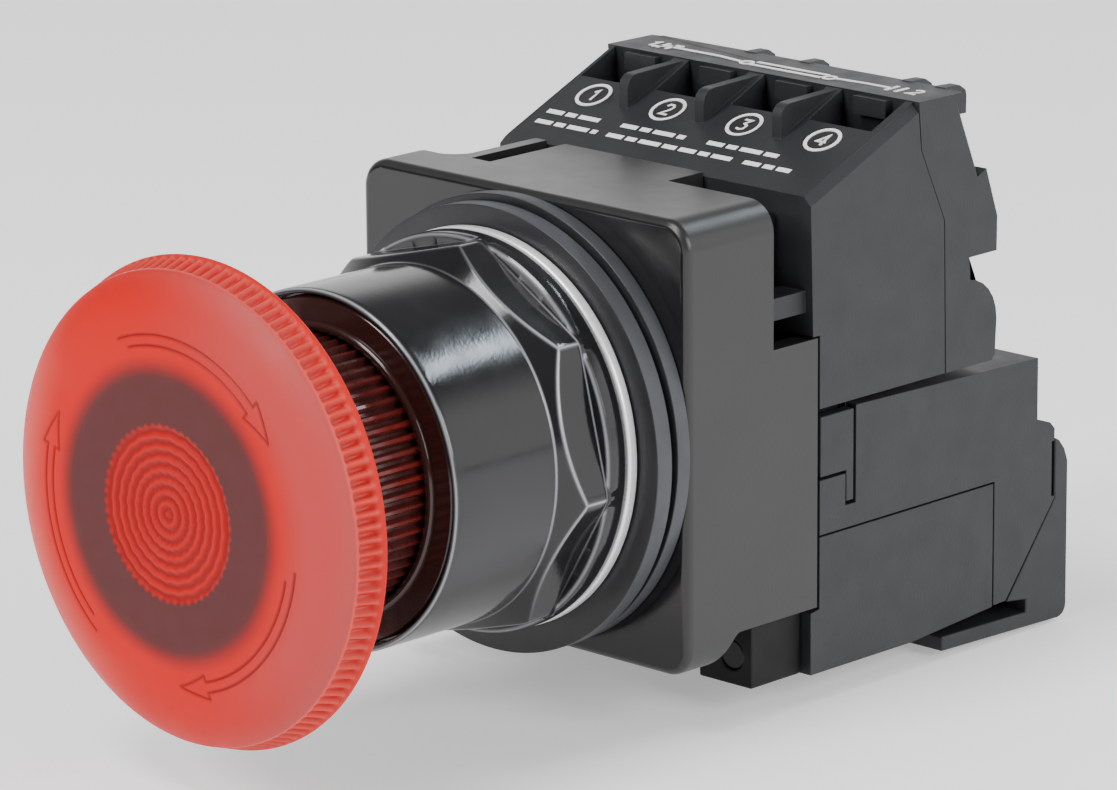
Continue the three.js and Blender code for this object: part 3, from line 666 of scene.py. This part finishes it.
def build_stack():
    """Seal at the mouth, threaded neck, washer and the two gaskets."""
    seal_low, seal_high = limits("wiper_seal")
    outer = seal_high.x
    face = seal_low.y + 0.1
    lip = [(13.8 + 0.5 * math.cos(math.radians(a)), face + 0.5 * math.sin(math.radians(a)))
           for a in range(180, 361, 15)]
    seal = lip + [(outer - 0.15, face), (outer, face + 0.15), (outer, seal_high.y),
                  (13.3, seal_high.y)]
    place(revolve("mouth_seal", seal, 192), "mouth_seal", SEAL, "root",
          ["wiper_seal"])

    neck_low, neck_high = limits("operator_bushing")
    bore, neck = 14.1, 15.0
    pitch, turns = 1.5, 15
    profile = [(bore, neck_low.y), (neck - 0.5, neck_low.y)]
    for k in range(turns):
        start = neck_low.y + 0.4 + pitch * k
        profile += [(neck - 0.45, start), (neck, start + 0.6), (neck, start + 0.9),
                    (neck - 0.45, start + 1.45)]
    profile += [(neck, 2.8), (16.5, 2.8), (16.5, neck_high.y), (bore, neck_high.y)]
    place(revolve("threaded_neck", profile, 128), "threaded_neck", GLOSS_BLACK, "root",
          ["operator_bushing"], sharp=25)

    inner = 15.5
    for node, name, material, slot, corner, inset in (
            ("metal_washer", "bright_washer", WASHER, "zinc_steel", 0.3, 0.25),
            ("front_gasket", "front_seal_ring", RUBBER, "rubber_seal", 0.12, 0.0),
            ("rear_gasket", "rear_seal_ring", RUBBER, "rubber_seal", 0.12, 0.0)):
        low, high = limits(node)
        middle = (low + high) / 2
        outer = (high.x - low.x) / 2 - inset
        outline = soften([(inner, low.y), (outer, low.y), (outer, high.y), (inner, high.y)], corner)
        mesh = revolve(name, outline, 256, centre=(middle.x, middle.z))
        mesh.materials.append(material)
        # The round sides get the lighter rubber as painted light; the flat faces keep the dark
        # rubber.
        if material is RUBBER:
            mesh.materials.append(RUBBER_LIT_SIDE)
            for face in mesh.polygons:
                face.material_index = 1 if abs(face.normal.y) < 0.6 else 0
        place(mesh, name, material, "root", [node], sharp=50)


# ------------------------------------------------------------------ housing
def rounded_rectangle(x0, x1, z0, z1, radius):
    """The outline of a rectangle with round corners."""
    steps = 10
    points = []
    for x, z, start in ((x1, z1, 0), (x0, z1, 90), (x0, z0, 180), (x1, z0, 270)):
        cx = x - radius if x == x1 else x + radius
        cz = z - radius if z == z1 else z + radius
        for k in range(steps + 1):
            angle = math.radians(start + 90 * k / steps)
            points.append((cx + radius * math.cos(angle), cz + radius * math.sin(angle)))
    return points


def build_housing():
    """The square housing: a rounded box, hollowed and cut away at its rear corners."""
    low, high = limits("housing")
    corner, fillet, wall = 3.0, 0.9, 2.2
    loops = []
    for k in range(9):
        angle = TAU / 4 * k / 8
        inset = fillet * (1 - math.sin(angle))
        loops.append((inset, low.y + fillet * (1 - math.cos(angle))))
    loops.append((0.0, high.y))
    points, faces = [], []
    for inset, y in loops:
        outline = rounded_rectangle(low.x + inset, high.x - inset, low.z + inset, high.z - inset,
                                    corner - inset)
        points += [(x, y, z) for x, z in outline]
    count = len(points) // len(loops)
    for row in range(len(loops) - 1):
        for k in range(count):
            n = (k + 1) % count
            a, b = row * count, (row + 1) * count
            faces.append((a + k, a + n, b + n, b + k))
    faces += [tuple(range(count)), tuple(range(len(points) - count, len(points)))]
    shell = mesh_from("housing_shell", points, faces)

    floor, roof = -18.7, high.z - wall    # underside at the rear, inner face of the top
    past = high.y + 1
    curve = []
    for k in range(13):
        t = k / 12
        curve.append((7.4 - 3.6 * t, floor - (floor - low.z + 0.2) * (3 * t * t - 2 * t ** 3)))
    underside = [(past, low.z - 2), (past, floor)] + curve + [(3.4, low.z - 2)]
    left_notch = [(low.x - 1, 5.9), (-16.6, 5.9), (-16.0, 6.05), (-15.4, 6.45), (-14.9, 7.0),
                  (-14.5, 7.6), (-14.4, 8.2), (-14.4, past), (low.x - 1, past)]
    cutters = [
        block("cavity", (low.x + wall, 2.5, -16.9), (high.x - wall, past, roof)),
        prism("neck_hole", [(15.4 * math.cos(TAU * k / 96), 15.4 * math.sin(TAU * k / 96))
                            for k in range(96)], "y", -1, 3.5),
        prism("underside", underside, "x", low.x - 1, high.x + 1),
        block("right_notch", (7.9, 12, 8), (high.x + 1, past, high.z + 1)),
        block("top_back", (-14.5, 17.0, 8), (8.0, past, high.z + 1)),
        prism("left_notch", left_notch, "z", 8, high.z + 1),
        block("top_slot", (-12.9, 6.5, roof - 1), (-10.4, past, high.z + 1)),
    ]
    shell = carve(shell, cutters)
    flatten_faces(shell)
    shell.materials.clear()
    for material in (GLOSS_BLACK, SATIN_BLACK):
        shell.materials.append(material)
    glossy_until = 0.1                    # the front face is glossier than the sides
    for face in shell.polygons:
        face.material_index = 0 if face.center.y / MM < glossy_until else 1
    obj = place(shell, "square_housing", GLOSS_BLACK, "root", ["housing"], sharp=60)
    bevel(obj, 0.22, 40)


# ------------------------------------------------------------------ screws
def slotted_screw(node, name, along, slot_turn):
    """A round slotted head on a shank, in the CAD node's box; its head looks along the axis."""
    low, high = limits(node)
    centre = (low + high) / 2
    turn_angle, turn_axis = {"z": (-90, "X"), "-z": (90, "X"), "-y": (180, "Z")}[along]
    where = centre.copy()
    if along == "-y":
        where.y = high.y
    else:
        where.z = high.z if along == "z" else low.z
    length = high.y - low.y if along == "-y" else high.z - low.z
    radius = (high.x - low.x) / 2
    head, shank = 1.7, 0.55 * radius      # height of the head, radius of the shank
    profile = [(0, 0)] + soften([(radius * 0.55, 0), (radius * 0.86, 0.16), (radius, 0.55),
                                 (radius, head), (shank, head), (shank, length), (0.2, length)],
                                0.18, closed=False) + [(0, length)]
    mesh = revolve(name, profile, 64)
    mesh = carve(mesh, [block("slot", (-radius - 1, -1, -0.32), (radius + 1, 0.75, 0.32))])
    mesh.transform(Matrix.Translation(where * MM)
                   @ Matrix.Rotation(math.radians(turn_angle), 4, turn_axis)
                   @ Matrix.Rotation(math.radians(slot_turn), 4, "Y"))
    place(mesh, name, STEEL, "root", [node], sharp=40)


# ------------------------------------------------------------------ printed marks
def ribbon(points, width, closed=False):
    """A flat stroke in (u, v): left and right edge points of a mitred line."""
    count = len(points)
    left, right = [], []
    for i in range(count):
        here = Vector(points[i])
        before = Vector(points[i - 1]) if closed or i else None
        after = Vector(points[(i + 1) % count]) if closed or i < count - 1 else None
        steps = [(here - before).normalized()] if before is not None else []
        steps += [(after - here).normalized()] if after is not None else []
        direction = sum(steps, Vector((0, 0))).normalized()
        side = Vector((-direction.y, direction.x))
        stretch = 1 / max(0.5, abs(direction.dot(steps[0])))
        left.append(here + side * width / 2 * stretch)
        right.append(here - side * width / 2 * stretch)
    return left, right


# Strokes of the digits in a box one unit high.
DIGITS = {
    1: [(0.2, 0.75), (0.45, 1.0), (0.45, 0.0)],
    2: [(0.05, 0.8), (0.2, 0.97), (0.45, 0.97), (0.6, 0.78), (0.5, 0.5), (0.05, 0.0), (0.65, 0.0)],
    3: [(0.05, 0.95), (0.6, 0.95), (0.3, 0.58), (0.58, 0.42), (0.55, 0.12), (0.3, 0.0),
        (0.03, 0.08)],
    4: [(0.5, 0.0), (0.5, 1.0), (0.03, 0.32), (0.68, 0.32)],
}


class Print:
    """Collects white strokes on one plane and makes them a thin closed mesh."""

    def __init__(self, origin, across, up):
        self.origin, self.across, self.up = Vector(origin), Vector(across), Vector(up)
        self.normal = self.across.cross(self.up)
        self.points, self.faces = [], []

    def stroke(self, points, width=0.4, closed=False):
        left, right = ribbon(points, width, closed)
        base = len(self.points)
        for height in (0.07, 0.16):
            for side in (left, right):
                self.points += [self.origin + self.across * p.x + self.up * p.y
                                + self.normal * height for p in side]
        n = len(points)
        low_left, low_right, top_left, top_right = (base + n * k for k in range(4))
        last = n if closed else n - 1
        for i in range(last):
            j = (i + 1) % n
            self.faces += [(top_left + i, top_left + j, top_right + j, top_right + i),
                           (low_left + j, low_left + i, low_right + i, low_right + j),
                           (low_left + i, low_left + j, top_left + j, top_left + i),
                           (low_right + j, low_right + i, top_right + i, top_right + j)]
        if not closed:
            for i in (0, n - 1):
                self.faces.append((low_left + i, top_left + i, top_right + i, low_right + i))

    def circle(self, u, v, radius, width=0.34):
        turns = [TAU * k / 40 for k in range(40)]
        self.stroke([(u + radius * math.cos(t), v + radius * math.sin(t)) for t in turns],
                    width, closed=True)

    def digit(self, number, u, v, size):
        self.stroke([(u + size * a, v + size * b) for a, b in DIGITS[number]], 0.26)

    def mesh(self, name):
        return mesh_from(name, self.points, self.faces)


def build_print():
    """Generic marks only: contact symbols, terminal numbers and plain bars."""
    slope = math.atan2(28.4 - 21.8, 32.45 - 17.2)
    label = Print((0, 17.2, 21.8), (1, 0, 0), (0, math.cos(slope), math.sin(slope)))
    for number, x in enumerate((-14.2, -4.2, 5.9, 16.0), 1):
        label.circle(x, 8.6, 1.75, 0.36)
        label.digit(number, x - 0.55, 7.75, 1.7)
    rows = [(-17.2, 4.9, 7.2), (-7.2, 4.9, 8.4), (4.2, 4.9, 9.6),
            (-17.2, 3.1, 8.2), (-7.6, 3.1, 16.4), (10.4, 3.1, 6.0)]
    bar_width, gap = 0.62, 0.45
    for u, v, length in rows:
        start, bar_lengths = u, cycle((2.1, 1.3, 2.7, 1.7))
        while start < u + length:
            end = min(start + next(bar_lengths), u + length)
            label.stroke([(start, v), (end, v)], bar_width)
            start = end + gap
    place(label.mesh("label_marks"), "label_marks", PRINT, "root")

    row, tall = 35.6, 1.0                 # middle of the diagram, half a cross bar
    top = Print((0, row, 28.52), (1, 0, 0), (0, 1, 0))
    for u in (-14.6, -13.4, 15.6, 16.8):
        top.stroke([(u, tall), (u, -tall)])
    top.digit(1, -16.6, -0.8, 1.8)
    top.stroke([(-15.4, -0.9), (-12.6, 0.9)])
    top.stroke([(-13.4, 0), (-7.0, 0), (-3.6, -0.5)])
    top.circle(-2.9, -0.5, 0.62)
    top.stroke([(-2.2, 0.35), (7.2, 0.35)])
    top.stroke([(-2.2, -0.9), (7.2, -0.9)])
    top.circle(7.9, -0.4, 0.62)
    top.stroke([(8.6, -0.3), (12.4, 0), (15.6, 0)])
    top.digit(2, 18.0, -0.8, 1.8)
    place(top.mesh("strip_marks"), "strip_marks", PRINT, "root")


# ------------------------------------------------------------------ carried-over pieces
CARRIED = {
    "zinc_steel": STEEL, "brass_parts": BRASS, "silver_contacts": SILVER, "cream_insulator": CREAM,
    "copper_coil": COPPER, "lamp_glass": GLASS, "rubber_seal": RUBBER, "dark_plastic": DARK_PLASTIC,
    "gloss_black": GLOSS_BLACK, "matte_grey": MATTE_GREY, "red_lens": SKIRT_RED,
    "red_skirt": SKIRT_RED,
}


def coil(name, radius, wire, start, stop, turns, centre):
    """A round-wire coil spring along Y."""
    steps, sides = int(turns * 28), 8
    along = Vector((0, 1, 0))
    points, faces = [], []
    for i in range(steps + 1):
        t = i / steps
        angle = TAU * turns * t
        outward = Vector((math.cos(angle), 0, math.sin(angle)))
        middle = Vector((centre[0], start + wire / 2 + (stop - start - wire) * t, centre[1]))
        for k in range(sides):
            turn = TAU * k / sides
            points.append(middle + outward * (radius + wire / 2 * math.cos(turn))
                          + along * (wire / 2 * math.sin(turn)))
    for i in range(steps):
        for k in range(sides):
            n = (k + 1) % sides
            a, b = i * sides, (i + 1) * sides
            faces.append((a + k, a + n, b + n, b + k))
    faces += [tuple(range(sides)), tuple(range(steps * sides, (steps + 1) * sides))]
    return mesh_from(name, points, faces)


def build_springs():
    """Springs between the pieces they push apart."""
    for node, name, front, wire, turns in (("return_spring", "head_return_coil", "plunger", 1.0, 8),
                                           ("break_spring", "break_coil", "break_carrier", 0.5, 5),
                                           ("make_spring", "make_coil", None, 0.4, 3.5)):
        low, high = limits(node)
        x, z = (low.x + high.x) / 2, (low.z + high.z) / 2
        radius = (high.x - low.x - wire) / 2
        mesh = coil(name, radius, wire, low.y, high.y, turns, (x, z))
        if front:
            obj = place(mesh, name, STEEL, None)
            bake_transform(obj)
            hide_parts(node)
        else:
            obj = place(mesh, name, STEEL, "make_carrier", [node])
            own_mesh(obj)


def paint_carried_nodes():
    """Every CAD node gets the material of its slot, shown or not."""
    for entry in frame["record"]["subparts"]:
        mesh = frame["nodes"][entry["node"]].data
        mesh.materials.clear()
        mesh.materials.append(CARRIED[entry["material_slot"]])


# Boxes that widen the slots beside the latch tab and in front of the terminal guard.
SHADOW_GAPS = [((20.2, 23.5, -9.3), (22.5, 23.86, 0.6)), ((20.2, 22.3, -9.4), (22.5, 23.86, -9.0)),
               ((20.2, 22.24, -9.4), (22.5, 22.6, -5.9)), ((20.2, 18.0, -6.22), (22.5, 22.6, -5.9)),
               ((-30, 53.3, -15.0), (30, 53.9, -9.2))]


def build_mouldings():
    """The pieces that keep the CAD shape, and all the screws."""
    case_grow, lamp_grow = 0.15, 0.104    # half of the parting gaps, or a little less
    for node, name, material, slot, width, grow in (
            ("contact_front_case", "contact_block_front", MATTE_GREY, "matte_grey", 0.2, case_grow),
            ("contact_rear_case", "contact_block_rear", MATTE_GREY, "matte_grey", 0.2, case_grow),
            ("lamp_case_upper", "lamp_module_upper", MATTE_GREY, "matte_grey", 0.05, lamp_grow),
            ("lamp_case_lower", "lamp_module_lower", MATTE_GREY, "matte_grey", 0.05, lamp_grow),
            ("rear_cover", "terminal_guard", MATTE_GREY, "matte_grey", 0.2, 0.0),
            ("bracket_lug", "fixing_lug", DARK_PLASTIC, "gloss_black", 0.3, 0.0),
            ("mounting_plate", "inner_plate", DARK_PLASTIC, "dark_plastic", 0.12, 0.0)):
        cuts = SHADOW_GAPS if node == "lamp_case_upper" else ()
        refine(node, name, material, "root", width, grow, cuts)
    refine("latch_tab", "side_latch", MATTE_GREY, "latch", 0.12)
    for i in range(1, 5):
        refine(f"terminal_clamp_{i}", f"clamp_plate_{i}", STEEL, "root", 0.15)
        slotted_screw(f"terminal_screw_{i}", f"wire_screw_{i}", "z", 20.0 * i)
    for side in ("left", "right"):
        refine(f"lamp_clamp_{side}", f"lamp_plate_{side}", STEEL, "root", 0.15)
        slotted_screw(f"lamp_screw_{side}", f"lamp_wire_screw_{side}", "-z", 35.0)
    low, high = limits("bracket_screw")
    axis = ((low.x + high.x) / 2, (low.z + high.z) / 2)
    pin = [(0, 10.1), (1.3, 10.1), (1.48, 10.25), (1.48, 16.8), (1.2, 17.1), (1.2, high.y),
           (0, high.y)]
    place(revolve("lug_screw", pin, 48, centre=axis), "lug_screw", BLACKENED, "root",
          ["bracket_screw"])
    slotted_screw("block_screw_long", "long_block_screw", "-y", 30.0)
    slotted_screw("block_screw_short", "short_block_screw", "-y", -50.0)


# ------------------------------------------------------------------ stage
def area_light(name, azimuth, elevation, distance, size, power, colour=(1, 1, 1)):
    """A soft box that looks at the button from that direction; distance and size in metres."""
    a, e = math.radians(azimuth), math.radians(elevation)
    back = Vector((math.sin(a) * math.cos(e), -math.cos(a) * math.cos(e), math.sin(e)))
    data = bpy.data.lights.new(name, "AREA")
    data.shape = "RECTANGLE"
    data.size, data.size_y = size
    data.energy = power
    data.color = colour
    light = bpy.data.objects.new(name, data)
    bpy.context.scene.collection.objects.link(light)
    light.rotation_mode = "QUATERNION"
    light.rotation_quaternion = back.to_track_quat("Z", "Y")
    light.location = back * distance


def build_stage():
    """Pale floor, a world that is bright low behind the button, and four soft boxes."""
    gap, thickness, reach = 0.3, 20, 4000
    floor_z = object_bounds()[0].z / MM - gap
    mesh = block("floor", (-reach, -reach, floor_z - thickness), (reach, reach, floor_z))
    floor = bpy.data.objects.new("floor", mesh)
    bpy.context.scene.collection.objects.link(floor)
    mesh.materials.append(FLOOR)

    world = bpy.data.worlds.new("studio")
    bpy.context.scene.world = world
    world.use_nodes = True
    nodes, links = world.node_tree.nodes, world.node_tree.links
    coords = nodes.new("ShaderNodeTexCoord")
    parts = nodes.new("ShaderNodeSeparateXYZ")
    links.new(coords.outputs["Generated"], parts.inputs["Vector"])
    behind = span(nodes, links, parts.outputs["Y"], (-0.15, 0.55), (0.0, 1.0))
    low = span(nodes, links, parts.outputs["Z"], (0.3, 0.7), (1.0, 0.0))
    both = nodes.new("ShaderNodeMath")
    both.operation = "MULTIPLY"
    links.new(behind, both.inputs[0])
    links.new(low, both.inputs[1])
    dim, bright = 0.22, 1.7
    links.new(span(nodes, links, both.outputs["Value"], (0.0, 1.0), (dim, bright)),
              nodes["Background"].inputs["Strength"])
    nodes["Background"].inputs["Color"].default_value = (1, 1, 1, 1)
    area_light("right_softbox", 92, 24, 0.9, (0.5, 0.4), 5.5)
    area_light("top_softbox", -10, 62, 0.9, (0.35, 0.25), 5)
    area_light("front_softbox", -12, 34, 0.9, (0.3, 0.3), 5.5)
    area_light("back_strip", 164, 44, 0.7, (0.4, 0.05), 1.1, (0.8, 0.9, 1.0))


# ------------------------------------------------------------------ build
paint_carried_nodes()
build_head()
build_skirt()
build_nut()
build_stack()
build_housing()
build_mouldings()
build_springs()
build_print()
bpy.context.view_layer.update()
build_stage()
